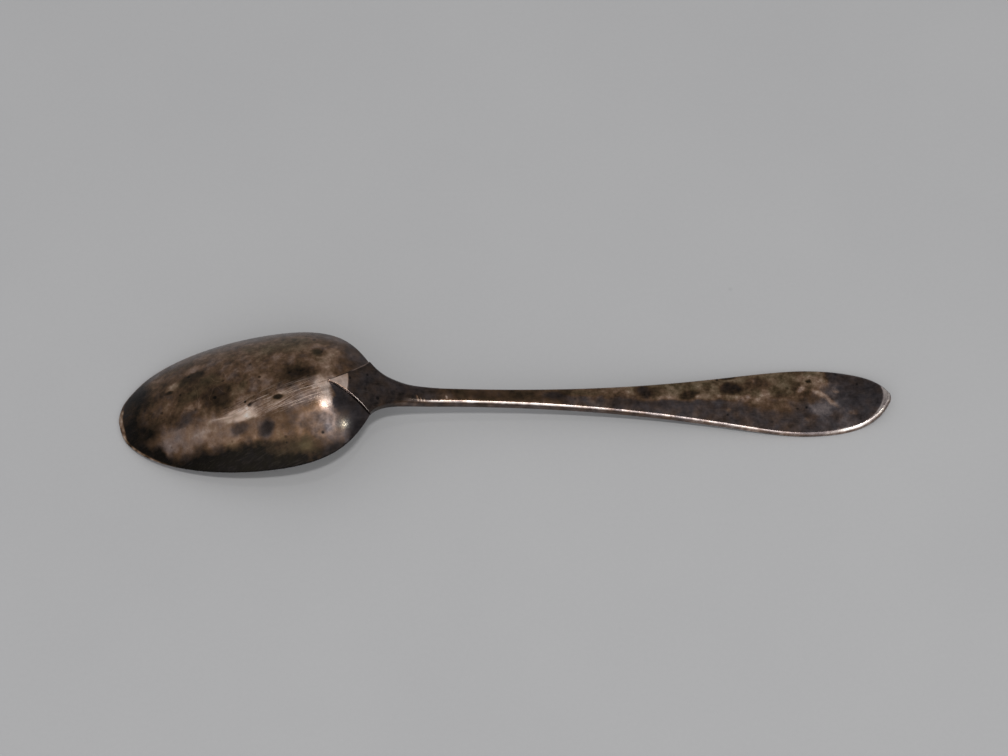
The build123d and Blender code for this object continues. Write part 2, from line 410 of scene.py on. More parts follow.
def handle_outline():
    """Far edge of the handle from above, from the drop's point to the end, with outward normals."""
    drop_point = np.array([DROP_X, 0])
    corner = np.array([JOINT_X, NECK_WIDTH / 2])
    waist = np.array([along(WAIST_SHARE), STEM_WIDTH / 2])
    widest = np.array([along(WIDEST_SHARE), BLADE_WIDTH / 2])
    point = np.array([END_X + POINT_SETBACK, 0])
    flare = waist[0] - corner[0]
    swell = widest[0] - waist[0]
    ending = point[0] - widest[0]

    # Drop: a curve from its point, through a place two fifths of the way out, to the corner of the joint
    t = np.linspace(0, 1, DROP_POINTS)[:, None]
    middle = np.array([(DROP_X + corner[0]) / 2, 0.4 * corner[1]])
    pull = 2 * middle - (drop_point + corner) / 2
    drop = (1 - t) ** 2 * drop_point + 2 * (1 - t) * t * pull + t**2 * corner

    # Neck, stem and blade
    after_corner = (corner[0] + 0.14 * flare, 1.25 * waist[1])
    before_waist = (corner[0] + 0.37 * flare, waist[1])
    neck = bezier(corner, after_corner, before_waist, waist, NECK_POINTS)
    after_waist = (waist[0] + 0.6 * swell, waist[1])
    before_widest = (widest[0] - 0.17 * swell, widest[1])
    stem = bezier(waist, after_waist, before_widest, widest, STEM_POINTS)
    after_widest = (widest[0] + 0.64 * ending, widest[1])
    before_point = (point[0] - 0.11 * ending, 0.6 * widest[1])
    end = bezier(widest, after_widest, before_point, point, END_POINTS)

    # Rounded point
    slope = np.arctan2(before_point[1], point[0] - before_point[0])
    end = end[np.linalg.norm(end - point, axis=1) > POINT_ROUND / tan(slope)]
    turn = np.linspace(pi / 2 - slope, 0, CAP_POINTS)[:, None]
    centre = point - np.array([POINT_ROUND / sin(slope), 0])
    cap = centre + POINT_ROUND * np.concatenate([np.cos(turn), np.sin(turn)], axis=1)

    places = np.concatenate([drop, neck[1:], stem[1:], end[1:], cap])
    step = np.gradient(places, axis=0)
    normal = np.stack([-step[:, 1], step[:, 0]], axis=1)
    normal /= np.linalg.norm(normal, axis=1)[:, None]
    normal[-1] = (1, 0)
    return places, normal


def handle_back(x, y):
    """Height of the handle's back above the table."""
    share = (x - JOINT_X) / HANDLE_LENGTH
    taper = (share - NECK_SHARE) / (WIDEST_SHARE - NECK_SHARE)
    end_taper = (share - WIDEST_SHARE) / (1 - WIDEST_SHARE)
    stem_thick = STEM_THICKNESS + (BLADE_THICKNESS - STEM_THICKNESS) * taper
    end_thick = BLADE_THICKNESS + (END_THICKNESS - BLADE_THICKNESS) * end_taper
    thickness = np.where(share < WIDEST_SHARE, stem_thick, end_thick)
    swell = (np.clip(share, WAIST_SHARE, WIDEST_SHARE) - WAIST_SHARE) / (WIDEST_SHARE - WAIST_SHARE)
    half = (STEM_WIDTH + (BLADE_WIDTH - STEM_WIDTH) * swell**2) / 2
    stem = face_height(x) + thickness - BACK_CROWN * (y / half) ** 2
    neck = dish_top(LAPPED, x, y)
    return np.where(x < NECK_X, neck, stem)


def handle_face(x, y):
    """Height of the handle's underside: the top of the solder, the curve of the neck, then the face."""
    curve = neck_face()
    neck = np.interp(x, curve[:, 0], curve[:, 1])
    lapped = dish_top(FILM_TOP, np.minimum(x, JOINT_X), y)
    return np.where(x < JOINT_X - JOINT_MARGIN, lapped, np.where(x < NECK_X, neck, face_height(x)))


def edge_rounding(places):
    """Rounding of the back's edge at each place of the outline."""
    x, y = places[:, 0], places[:, 1]
    on_stem = smooth(JOINT_X, JOINT_X + 8, x)
    on_blade = smooth(50, 64, x)
    rounding = DROP_ROUND + STEM_EXTRA_ROUND * on_stem + BLADE_EXTRA_ROUND * on_blade
    rounding = np.minimum(rounding, 0.9 * np.maximum(y, 0.02))
    # Crisp at the joint
    rounding *= 0.15 + 0.85 * smooth(0.1, 1.2, abs(x - JOINT_X))
    # Rounder on the neck, as far as its thickness allows
    on_neck = smooth(-23.8, -21, x) * smooth(-13.5, -18.5, x)
    most = 0.7 * (handle_back(x, y) - handle_face(x, y))
    rounding = np.where(x > JOINT_X, np.minimum(rounding + NECK_EXTRA_ROUND * on_neck, most), rounding)
    rounding[-CAP_POINTS:] = CAP_ROUND
    return rounding


def build_handle():
    """The handle as one closed skin, in rows across it from the drop's point to the end.

    Each point also gets four numbers from 0 to 1: how far it lies on the back's rounded edge, on the
    lower part of that edge, on the side, and on the brink between the back and its edge.
    """
    places, normal = handle_outline()
    rounding = edge_rounding(places)
    outline_x, outline_y = places[:, 0], places[:, 1]
    columns = []

    def add_column(x, y, z):
        columns.append(np.stack([x, y, z], axis=1))

    def inwards(amount):
        """The outline moved in by these amounts, but not past the middle."""
        moved = places - normal * amount[:, None]
        return moved[:, 0], np.maximum(moved[:, 1], 0)

    # Back, with more columns near its edge
    x, y = inwards(rounding)
    back_shares = np.concatenate([np.linspace(0, 0.75, 12), np.linspace(0.75, 1, 10)[1:]])
    for share in back_shares:
        add_column(x, y * share, handle_back(x, y * share))

    # Rounded edge of the back
    for turn in np.linspace(0, pi / 2, 8)[1:]:
        x, y = inwards(rounding * (1 - sin(turn)))
        add_column(x, y, handle_back(x, y) - rounding * (1 - cos(turn)))

    # Side
    under = FACE_ROUND * np.minimum(1, outline_y / FACE_ROUND)
    under = np.where(outline_x < JOINT_X, REBATE_ROUND, under)
    under[-CAP_POINTS:] = FACE_ROUND
    top = columns[-1][:, 2]
    low = handle_face(outline_x, outline_y) + under
    for share in (0.35, 0.7):
        add_column(outline_x, outline_y, top + (low - top) * share)

    # Rounded edge of the face, then the face
    for turn in np.linspace(0, pi / 2, 5):
        x, y = inwards(under * (1 - cos(turn)))
        add_column(x, y, handle_face(x, y) + under * (1 - sin(turn)))
    for share in np.linspace(1, 0, 9)[1:]:
        add_column(x, y * share, handle_face(x, y * share))

    # Skin: the far half, then its mirror image
    near_half = [column * np.array([1, -1, 1]) for column in columns[-2:0:-1]]
    grid = np.stack(columns + near_half, axis=1)
    rows, count = grid.shape[:2]
    faces = []
    for k in range(rows - 1):
        faces += bridge((k + 1) * count, k * count, count)

    def by_column(start, values):
        """A number for each point, given by its column counted from the middle of the back."""
        column = np.zeros(len(columns))
        column[start : start + len(values)] = values
        return np.tile(np.concatenate([column, column[-2:0:-1]]), rows)

    first = len(back_shares)  # first column of the rounded edge
    edge = by_column(first, (0.7, 1, 0.9, 0.5, 0.15))
    lower = by_column(first + 4, (0.4, 0.9, 1, 0.6))
    side = by_column(first + 3, np.ones(7))
    brink = by_column(first - 2, np.ones(5))
    return grid.reshape(-1, 3), faces, edge, lower, side, brink


# Tarnish, and in a few marked spots painted shade, reflection and glow: how thick the dark film is at
# each place, from
# 0 for bare metal to 1 for black, and its cast, from -1 for purple, past 0 for pinkish brown, to 1 for
# olive


def spot_share(x, y, spot):
    """How far each place is inside a soft oval spot, from 0 to 1."""
    at_x, at_y, length, width, turn, softness = spot
    c, s = cos(radians(turn)), sin(radians(turn))
    across = ((x - at_x) * c + (y - at_y) * s) / length
    beside = ((y - at_y) * c - (x - at_x) * s) / width
    return 1 - smooth(1 - softness, 1 + softness, np.hypot(across, beside))


def tarnish_and_painted_light(points, base, spots, drift):
    """Film and cast at each point, with the spots' outlines made uneven."""
    wander_x = 0.9 * ripple(points, 2.6, drift) + 0.5 * ripple(points, 0.8, drift + 5)
    wander_y = 0.9 * ripple(points, 2.6, drift + 11) + 0.5 * ripple(points, 0.8, drift + 17)
    film = np.full(len(points), base)
    cast = np.zeros(len(points))
    for spot, level, hue in spots:
        # Small spots and sharp ones wander less
        reach = min(0.7, 0.5 * min(spot[2:4])) * min(1, spot[5] / 0.3)
        share = spot_share(points[:, 0] + reach * wander_x, points[:, 1] + reach * wander_y, spot)
        film = toward(film, level, share)
        cast = toward(cast, hue, share)
    return film, cast


# Spots: (x, y, half length, half width, turn in degrees, softness of the edge), film, cast
BOWL_SPOTS = [
    ((-50, 9, 22, 4.5, 8, 0.5), 0.58, 0.0),  # far band
    ((-40, 9.4, 7, 2.2, 12, 0.6), 0.65, 0.6),
    ((-49, 4.8, 5, 2.0, 10, 0.7), 0.54, -0.2),
    ((-45, 1.4, 4, 2.4, 20, 0.7), 0.66, -0.1),
    ((-43.2, 0.9, 2.8, 1.3, 15, 0.7), 0.52, -0.4),
    ((-46.4, 2.8, 1.6, 1.3, 60, 0.6), 0.64, 0.0),
    ((-58, 2, 9, 6, 20, 0.5), 0.76, 0.1),  # dark end of the bowl
    ((-70, 0, 6.0, 14, 0, 0.2), 0.97, 0.0),  # tip
    ((-67, -6, 6.5, 4.5, -40, 0.3), 0.99, 0.0),
    ((-46, -14.7, 45, 5.0, 0, 0.34), 1.05, 0.0),  # near band: black film painting the dark reflection along the near side
    ((-36.6, -11.0, 6.0, 1.8, -4, 0.7), 0.91, 0.3),
    ((-62.4, -0.4, 3.0, 2.4, 20, 0.5), 0.76, 0.0),
    ((-60.2, -1.4, 2.2, 1.2, 20, 0.6), 0.66, 0.0),
    ((-54.6, 6.7, 3.2, 1.3, 20, 0.7), 0.52, -0.2),
    ((-57.5, -7.0, 5.6, 2.0, -4, 0.5), 0.45, -0.4),  # pinkish grey patch
    ((-63.4, -9.4, 5.0, 2.0, -30, 0.3), 1.0, 0.0),
    ((-51.5, -6.4, 5.6, 2.3, 0, 0.6), 0.45, 0.0),
    ((-53.8, -6.8, 2.4, 1.1, 0, 0.7), 0.35, -0.2),
    ((-44, -8.0, 8, 1.6, 0, 0.5), 0.50, 0.0),
    ((-40.5, -3.6, 9.5, 2.3, 12, 0.4), 0.54, -0.1),  # rubbed middle
    ((-36.0, -1.6, 6.6, 1.9, 18, 0.4), 0.52, -0.1),
    ((-32.2, -0.1, 2.4, 1.3, 15, 0.5), 0.24, -0.2),
    ((-34.4, -2.8, 2.2, 1.0, 15, 0.6), 0.37, -0.3),
    ((-46.6, -4.9, 3.4, 1.25, 2, 0.3), 0.09, 0.0),  # brightest rub
    ((-42.2, -4.2, 2.4, 0.8, 12, 0.5), 0.45, -0.1),
    ((-50.8, -5.2, 3.0, 0.45, 2, 0.8), 0.36, 0.0),
    ((-49.8, -5.1, 2.0, 0.14, 1, 0.6), 0.14, 0.0),
    ((-54.2, 1.6, 3.6, 1.9, 22, 0.6), 0.77, 0.6),  # dark scratched patch
    ((-50.8, -0.9, 3.6, 2.1, 10, 0.35), 0.88, 0.1),
    ((-56.4, 4.3, 2.6, 1.1, 20, 0.35), 0.91, 0.3),
    ((-59.8, 3.4, 1.3, 0.7, 27, 0.6), 0.28, 0.4),  # pale scuff
    ((-60.4, 2.3, 0.7, 0.4, 0, 0.5), 0.92, 0.2),
    ((-55.6, -1.8, 1.9, 1.0, 20, 0.6), 0.56, 0.0),
    ((-56.9, -3.9, 1.6, 1.0, 22, 0.7), 0.82, -0.6),
    ((-47.4, -0.4, 1.8, 1.1, 40, 0.6), 0.58, 0.6),
    ((-46.1, -2.8, 0.22, 0.3, 0, 0.6), 1.0, 0.0),  # specks
    ((-45.3, -3.5, 0.35, 0.25, 0, 0.6), 1.0, 0.0),
    ((-47.1, -7.4, 1.3, 1.1, 0, 0.6), 0.72, -0.5),
    ((-42.3, -7.9, 1.5, 1.5, 0, 0.5), 0.90, -0.6),  # round dark spot
    ((-37.0, 1.7, 2.8, 1.8, 14, 0.7), 0.91, 0.0),  # soft dark spot
    ((-40.2, -2.6, 1.25, 0.65, 8, 0.2), 0.36, 0.0),  # small oval with a pale outline
    ((-40.2, -2.7, 1.0, 0.5, 8, 0.3), 0.97, 0.2),
    ((-38.6, -5.2, 1.6, 0.7, 15, 0.8), 0.66, -0.3),
    ((-31.4, 5.0, 1.3, 3.4, -14, 0.7), 0.47, 0.1),
    ((-26.9, 6.0, 3.3, 2.7, 40, 0.5), 0.76, 0.1),
    ((-33.6, 6.7, 0.9, 0.8, 0, 0.6), 0.85, 0.9),
    ((-36.5, -7.6, 3.8, 1.8, 18, 0.6), 0.72, -0.1),
    ((-33.0, -7.2, 2.2, 1.5, 50, 0.6), 0.66, -0.1),
    # thin film at the small white highlight, paler to paint its glow
    ((-31.6, -3.4, 1.3, 2.6, 6, 0.5), 0.25, -0.5),
    ((-30.4, -8.0, 3.2, 2.8, 0, 0.7), 0.62, -0.8),  # painted glow round the corner lamp's reflection, beside the drop
    # these two dark spots are part of the painted dark reflection beside the drop
    ((-29.2, -11.8, 3.8, 1.3, 22, 0.4), 0.97, -0.4),
    ((-25.6, -8.2, 2.8, 2.0, 45, 0.4), 0.95, -0.6),
    ((-35.6, -11.1, 1.2, 0.7, 0, 0.8), 0.82, 0.8),
]
HANDLE_SPOTS = [
    ((-24, 0, 12, 6, 0, 0.3), 0.87, -0.6),  # neck
    ((45, -3, 34, 3.5, -4, 0.25), 0.75, -0.6),  # near half of the blade
    ((30, -0.9, 9, 1.0, -2, 0.6), 0.80, -0.7),
    ((-2, 0.3, 8, 1.4, 0, 0.6), 0.84, 0.1),
    ((47.5, -0.6, 5.0, 1.4, -8, 0.6), 0.64, 0.1),
    ((44, 3.4, 26, 2.6, 4.5, 0.3), 0.57, 0.7),  # far half of the blade
    ((35, 0.6, 10, 0.5, 3, 0.5), 0.44, 0.3),
    ((64, 0, 7.0, 6.8, 0, 0.25), 0.71, -0.9),  # dark end
    ((65.4, 2.0, 3.8, 4.4, -25, 0.4), 0.85, -0.9),
    ((61.5, 5.0, 3.0, 1.3, -15, 0.5), 0.84, -0.6),
    ((-29.4, 0.4, 1.7, 4, 0, 0.06), 0.17, -0.3),  # bare point of the drop
    ((-15.6, -1.2, 0.16, 0.75, 14, 0.4), 0.40, -0.2),  # short scratches, side by side
    ((-15.0, -1.4, 0.14, 0.55, 14, 0.4), 0.42, -0.2),
    ((-14.4, -1.4, 0.14, 0.40, 14, 0.4), 0.44, -0.2),
    ((-13.0, -1.3, 0.16, 0.35, 14, 0.4), 0.46, -0.2),
    ((-10.4, -0.6, 0.14, 0.45, 14, 0.4), 0.46, -0.2),
    ((9, 0.2, 2.0, 0.8, 0, 0.6), 0.92, -0.6),  # blots on the stem and the blade
    ((14, 0.9, 3.0, 0.6, 0, 0.6), 0.66, 0.6),
    ((25.4, 1.5, 2.0, 1.3, 0, 0.35), 0.92, -0.3),
    ((33.5, 1.1, 2.0, 0.9, 14, 0.35), 0.88, 0.3),
    ((41.0, 2.6, 2.2, 1.2, 10, 0.3), 0.92, -0.1),
    ((40.8, 5.0, 1.4, 0.6, 10, 0.4), 0.93, 0.2),
    ((46.0, 3.4, 2.6, 1.5, 0, 0.35), 0.79, 0.1),
    ((45.0, 4.2, 0.7, 0.35, 0, 0.6), 0.62, 0.2),
    ((44.5, 0.4, 2.2, 0.7, 0, 0.5), 0.40, 0.1),
    ((28.5, 1.6, 1.6, 0.8, 0, 0.5), 0.66, 0.6),
    ((53.6, 3.2, 2.4, 1.2, -30, 0.5), 0.78, 0.4),
    ((56.0, 4.3, 2.6, 1.3, -8, 0.25), 0.33, 0.2),  # pale blotches
    ((54.0, 2.6, 1.0, 0.5, 40, 0.5), 0.36, 0.1),
    ((55.4, 4.3, 0.5, 0.4, 0, 0.4), 0.95, 0.3),
    ((57.4, 1.6, 1.4, 0.5, -25, 0.5), 0.38, 0.0),
    ((59.2, 0.0, 1.6, 0.45, -42, 0.6), 0.42, -0.3),
    ((57.2, -1.4, 1.8, 1.2, 0, 0.7), 0.47, -1.4),
    ((47.2, 1.6, 0.9, 0.7, 0, 0.6), 0.48, -0.2),  # pale specks
    ((60.3, 2.0, 0.5, 0.35, 0, 0.6), 0.50, -0.3),
    ((63.2, -2.4, 0.9, 0.5, 0, 0.6), 0.58, -0.4),
    ((44.1, 0.9, 0.6, 0.4, 0, 0.6), 0.24, 0.0),
    ((54.5, -3.6, 0.5, 0.4, 0, 0.6), 0.60, -0.3),
    ((40.5, -1.9, 0.5, 0.4, 0, 0.6), 0.60, -0.2),
]

# Finish of the bowl

BOWL_FILM = 0.62  # where no spot lies
HOLLOW_FILM = 0.5
# grey cast along the far rim, standing in for its grey reflection of the room
FAR_RIM_REFLECTION_CAST = -0.6
# Painted dark reflection beside the drop, a blue black film for the dark room mirrored there: the Y and
# then the X of its sharp edge, and where it fades
DARK_REFLECTION_EDGE = ((-7.0, -5.5, -4.5, -3.4, -2.8, -0.5), (-28.6, -29.7, -30.6, -30.4, -29.9, -31.1))
DARK_REFLECTION_FILM = 0.88
DARK_REFLECTION_CAST = -0.9
# oval where the painted dark reflection fades, round the painted glow
PAINTED_GLOW_OVAL = (-29.6, -8.4, 3.4, 2.6, 10, 0.8)
# Bare metal along the rim at the tip: its width, and what is added nearer the tip and at it
LAND_WIDTH = 0.05
LAND_NEAR_TIP = 0.3
LAND_AT_TIP = 0.5
WORN_TIP_FILM = 0.32
WORN_TIP_CAST = 0.4
# Rubbed and scratched streak along the middle, except at the small oval
RUB_X = -39
RUB_Y = -2.6
RUB_SLOPE = 0.2
RUB_HALF_LENGTH = 11
RUB_HALF_WIDTH = 2.6
RUB_LEAST = 0.02
UNRUBBED_OVAL = (-40.2, -2.7, 1.3, 0.8, 8, 0.3)
# Polish beside the drop: a dull oval, and two ovals between dull and glossy, each with its level
DULLING = 3.2
DULL_OVAL = (-33.0, -7.6, 3.6, 2.2, 10, 0.5)
SATIN_OVALS = [((-30.8, -4.2, 3.4, 1.6, -20, 0.3), 0.6), ((-28.6, -7.5, 1.8, 1.6, 0, 0.3), 0.7)]
# Patch of fine curved scratches
SCUFFED_OVAL = (-53.2, 1.0, 5.4, 3.0, 18, 0.4)


def finish_bowl(points, outside, inset):
    """Numbers for the silver's material at each point of the bowl."""
    x, y = points[:, 0], points[:, 1]
    far = y > 0
    film, cast = tarnish_and_painted_light(points, BOWL_FILM, BOWL_SPOTS, 0)

    # Beside the drop: painted dark reflection, as blue black film
    past_edge = x - np.interp(y, *DARK_REFLECTION_EDGE) + 0.12 * ripple(points, 0.5, 50)
    dark_reflection_share = smooth(-0.1, 0.1, past_edge) * smooth(0.6, 0.2, y)
    cast = toward(cast, DARK_REFLECTION_CAST, dark_reflection_share)
    dark_reflection_share = dark_reflection_share * (1 - spot_share(x, y, PAINTED_GLOW_OVAL))
    film = toward(film, np.maximum(film, DARK_REFLECTION_FILM), dark_reflection_share)

    # Hollow, and a grey cast on the far edge that paints its reflection
    film = np.where(outside > 0.5, film, HOLLOW_FILM + 0.2 * ripple(points, 6.0, 30))
    cast = toward(cast, FAR_RIM_REFLECTION_CAST, smooth(4, 0.8, inset) * far)

    # Worn tip
    near_tip = smooth(-60, -66, x)
    at_tip = smooth(4, 1.5, abs(y + 0.8)) * smooth(-66, -69, x)
    land = LAND_WIDTH + LAND_NEAR_TIP * near_tip + LAND_AT_TIP * at_tip
    worn_tip = smooth(land + 0.12, land - 0.12, inset) * smooth(-56, -64, x) * np.where(y < 2, 1, 0.5)
    worn_tip = worn_tip * np.clip(0.85 + 0.9 * ripple(points, 0.8, 40), 0, 1)
    film = toward(film, WORN_TIP_FILM, worn_tip)
    cast = toward(cast, WORN_TIP_CAST, worn_tip)

    # Rubbed streak
    along_streak = x - RUB_X
    beside_streak = y - RUB_Y - RUB_SLOPE * along_streak
    from_streak = np.hypot(along_streak / RUB_HALF_LENGTH, beside_streak / RUB_HALF_WIDTH)
    rub = 1 - smooth(0.5, 1.3, from_streak)
    rub = rub * (1 - spot_share(x, y, UNRUBBED_OVAL))
    rub = np.maximum(rub * outside * smooth(-30, -31.2, x), RUB_LEAST)

    # Polish, fine scratches and mottling
    gloss = smooth(-34, -30.5, x) - DULLING * spot_share(x, y, DULL_OVAL)
    for oval, level in SATIN_OVALS:
        gloss = toward(gloss, level, spot_share(x, y, oval))
    scuff = 0.1 + 0.9 * spot_share(x, y, SCUFFED_OVAL)
    scuff = scuff * (smooth(0.97, 0.9, film) * outside)
    patchy = 0.55 + 0.35 * smooth(-6, -2, y) - 0.4 * smooth(4, 0.5, inset) * far
    return {"film": film, "cast": cast, "rub": rub, "gloss": gloss, "patchy": patchy, "scuff": scuff}


# Finish of the handle

HANDLE_FILM = 0.69  # where no spot lies
SIDE_FILM = 0.68
SIDE_CAST = -0.4
DULL_EDGE_FILM = 0.45  # near edge at the drop's point
BARE_FILM = 0.02  # bare near edge, which also paints the key lamp's highlight line
BARE_CAST = -1.2
HANDLE_RUB = 0.03
# Bare strip round the end: its film, and the oval that it runs outside
STRIP_FILM = 0.04
END_OVAL = (60, 0.8, 8.6, 6.36, 0, 0.012)


def finish_handle(points, edge, lower, side, brink):
    """Numbers for the silver's material at each point of the handle."""
    x, y = points[:, 0], points[:, 1]
    near = y < 0
    on_drop = x < JOINT_X
    on_neck = smooth(-23, -21, x) * smooth(-15, -18.5, x)
    past_stem = smooth(8, 25, x)
    before_end = smooth(62, 58, x)
    at_end = smooth(64, 66, x)
    film, cast = tarnish_and_painted_light(points, HANDLE_FILM, HANDLE_SPOTS, 60)

    # Near side: darker by the neck, a painted shade, and paler along the blade
    neck_painted_shade = 0.2 * smooth(-18, -21, x)
    blade_less = 0.26 * smooth(15, 45, x)
    drop_film = 0.4 + 0.5 * smooth(-30.6, -30, x)
    side_film = np.where(on_drop, drop_film, SIDE_FILM + neck_painted_shade - blade_less)
    film = toward(film, side_film, side * near * (1 - 0.6 * on_neck))
    cast = toward(cast, SIDE_CAST, side * near)

    # Dull near edge at the drop's point
    dull = brink * on_drop * (y < -0.05) * smooth(-27.5, -28.5, x)
    film = toward(film, DULL_EDGE_FILM, dull)

    # Bare near edge further on, worn metal that also paints the key lamp's highlight line: thinner on
    # the drop and the blade, lower on the neck, and weaker before the end and on the far side
    worn_edge_and_highlight = toward(edge, lower, on_neck)
    wear = np.where(on_drop, worn_edge_and_highlight**6, worn_edge_and_highlight ** (1 + past_stem))
    wear *= 0.85 + 0.4 * ripple(points, 1.5, 70)
    drop_share = 0.9 * smooth(-28.5, -26, x)
    stem_share = 0.4 * smooth(-22, -18.5, x) + 0.6 * smooth(-17, -11, x)
    wear *= np.where(on_drop, drop_share, stem_share)
    wear *= 1 - 0.5 * smooth(51, 54, x) * smooth(61, 58, x)
    wear *= np.where(near, 1, 0.15 * (1 - on_drop))
    wear = np.clip(wear, 0, 1)
    bare = BARE_FILM + 0.14 * past_stem * before_end + 0.2 * at_end - 0.27 * on_drop
    cast = toward(cast, BARE_CAST, wear)
    film = toward(film, bare, wear)

    # Darker along the far edge of the drop's point, and a paler edge further on
    far_edge_film = 1 - 0.55 * smooth(-27.6, -26.8, x)
    film = toward(film, far_edge_film, brink * on_drop * (y > 0.05))

    # Bare strip round the end
    strip = (1 - spot_share(x, y, END_OVAL)) * (1 - side) * smooth(59.5, 62.5, x)
    film = toward(film, STRIP_FILM + 0.24 * at_end, strip)
    cast = toward(cast, BARE_CAST, strip)

    # Polish and mottling, which is strongest on the far half of the blade
    rub = np.full(len(points), HANDLE_RUB)
    gloss = 0.3 * smooth(-26, -20, x)
    patchy = 0.85 + 0.2 * smooth(-0.3, 0.6, y) * smooth(5, 20, x) * before_end
    scuff = np.zeros(len(points))
    return {"film": film, "cast": cast, "rub": rub, "gloss": gloss, "patchy": patchy, "scuff": scuff}


# Materials


class Nodes:
    """Short calls for building a material's nodes."""

    def __init__(self, name):
        self.material = bpy.data.materials.new(name)
        self.material.use_nodes = True
        self.tree = self.material.node_tree
        self.tree.nodes.clear()

    def add(self, kind, settings=None, **inputs):
        """A node with its settings, and its inputs set to values or linked to sockets."""
        made = self.tree.nodes.new(kind)
        for key, value in (settings or {}).items():
            setattr(made, key, value)
        for key, value in inputs.items():
            self.feed(made, key.replace("_", " "), value)
        return made

    def feed(self, made, key, value):
        """Sets or links one input, by its name or its number."""
        if isinstance(value, bpy.types.NodeSocket):
            self.tree.links.new(value, made.inputs[key])
        else:
            made.inputs[key].default_value = value

    def math(self, operation, first, second=0.0, clamp=False):
        made = self.add("ShaderNodeMath", {"operation": operation, "use_clamp": clamp})
        self.feed(made, 0, first)
        self.feed(made, 1, second)
        return made.outputs[0]

    def plus(self, first, second, clamp=False):
        return self.math("ADD", first, second, clamp)

    def minus(self, first, second):
        return self.math("SUBTRACT", first, second)

    def times(self, first, second):
        return self.math("MULTIPLY", first, second)

    def larger(self, first, second):
        return self.math("MAXIMUM", first, second)

    def spread(self, value, source, target):
        """Maps a value from one range to another, held at the ends."""
        made = self.add("ShaderNodeMapRange", Value=value)
        self.feed(made, "From Min", source[0])
        self.feed(made, "From Max", source[1])
        self.feed(made, "To Min", target[0])
        self.feed(made, "To Max", target[1])
        return made.outputs[0]

    def ramp(self, value, stops):
        """Colour at each place of a ramp."""
        made = self.add("ShaderNodeValToRGB", Fac=value)
        ramp = made.color_ramp
        while len(ramp.elements) < len(stops):
            ramp.elements.new(1.0)
        for element, (place, colour) in zip(ramp.elements, stops):
            element.position = place
            element.color = (*colour, 1)
        return made.outputs[0]

    def noise(self, coordinates, scale, detail=4.0, roughness=0.55):
        made = self.add("ShaderNodeTexNoise", Vector=coordinates, Scale=scale)
        self.feed(made, "Detail", detail)
        self.feed(made, "Roughness", roughness)
        return made.outputs[0]

    def blend(self, share, first, second):
        """Mixes two colours."""
        made = self.add("ShaderNodeMix", {"data_type": "RGBA"})
        self.feed(made, 0, share)
        self.feed(made, 6, first)
        self.feed(made, 7, second)
        return made.outputs[2]

    def attribute(self, name):
        return self.add("ShaderNodeAttribute", {"attribute_name": name}).outputs["Fac"]

    def millimetres(self, turn=0.0, stretch=(1, 1, 1)):
        """Object coordinates in millimetres, turned about Z and stretched."""
        place = self.add("ShaderNodeTexCoord").outputs["Object"]
        turned = self.add("ShaderNodeMapping", {"vector_type": "POINT"}, Vector=place)
        self.feed(turned, "Rotation", (0, 0, radians(turn)))
        self.feed(turned, "Scale", (1 / MM, 1 / MM, 1 / MM))
        scaled = self.add("ShaderNodeVectorMath", {"operation": "MULTIPLY"})
        self.feed(scaled, 0, turned.outputs[0])
        self.feed(scaled, 1, stretch)
        return scaled.outputs[0]

    def finish(self, **inputs):
        """The surface shader, from values and sockets."""
        shader = self.add("ShaderNodeBsdfPrincipled", None, **inputs)
        output = self.add("ShaderNodeOutputMaterial")
        self.tree.links.new(shader.outputs[0], output.inputs["Surface"])
        return self.material


# Colours of the film, from bare metal to black: pinkish brown, with olive and purple casts
BROWN_FILM = [
    (0.00, (0.90, 0.87, 0.83)),
    (0.08, (0.74, 0.555, 0.455)),
    (0.25, (0.47, 0.335, 0.26)),
    (0.40, (0.29, 0.187, 0.132)),
    (0.60, (0.150, 0.088, 0.053)),
    (0.80, (0.068, 0.041, 0.025)),
    (1.00, (0.0108, 0.0092, 0.0078)),
]
OLIVE_FILM = [
    (0.00, (0.90, 0.87, 0.82)),
    (0.10, (0.70, 0.60, 0.47)),
    (0.40, (0.245, 0.184, 0.118)),
    (0.70, (0.092, 0.068, 0.037)),
    (1.00, (0.014, 0.012, 0.008)),
]
PURPLE_FILM = [
    (0.00, (0.90, 0.88, 0.86)),
    (0.10, (0.68, 0.62, 0.585)),
    (0.40, (0.25, 0.21, 0.206)),
    (0.70, (0.086, 0.076, 0.081)),
    (1.00, (0.016, 0.014, 0.015)),
]
SCRATCH_COLOUR = (0.66, 0.52, 0.44, 1)
SOLDER_COLOURS = [(0.3, (0.05, 0.042, 0.036)), (0.7, (0.16, 0.14, 0.125))]
PAPER_COLOURS = [(0.3, (0.378, 0.378, 0.388)), (0.7, (0.402, 0.402, 0.410))]
SPECK_COLOUR = (0.26, 0.26, 0.27, 1)


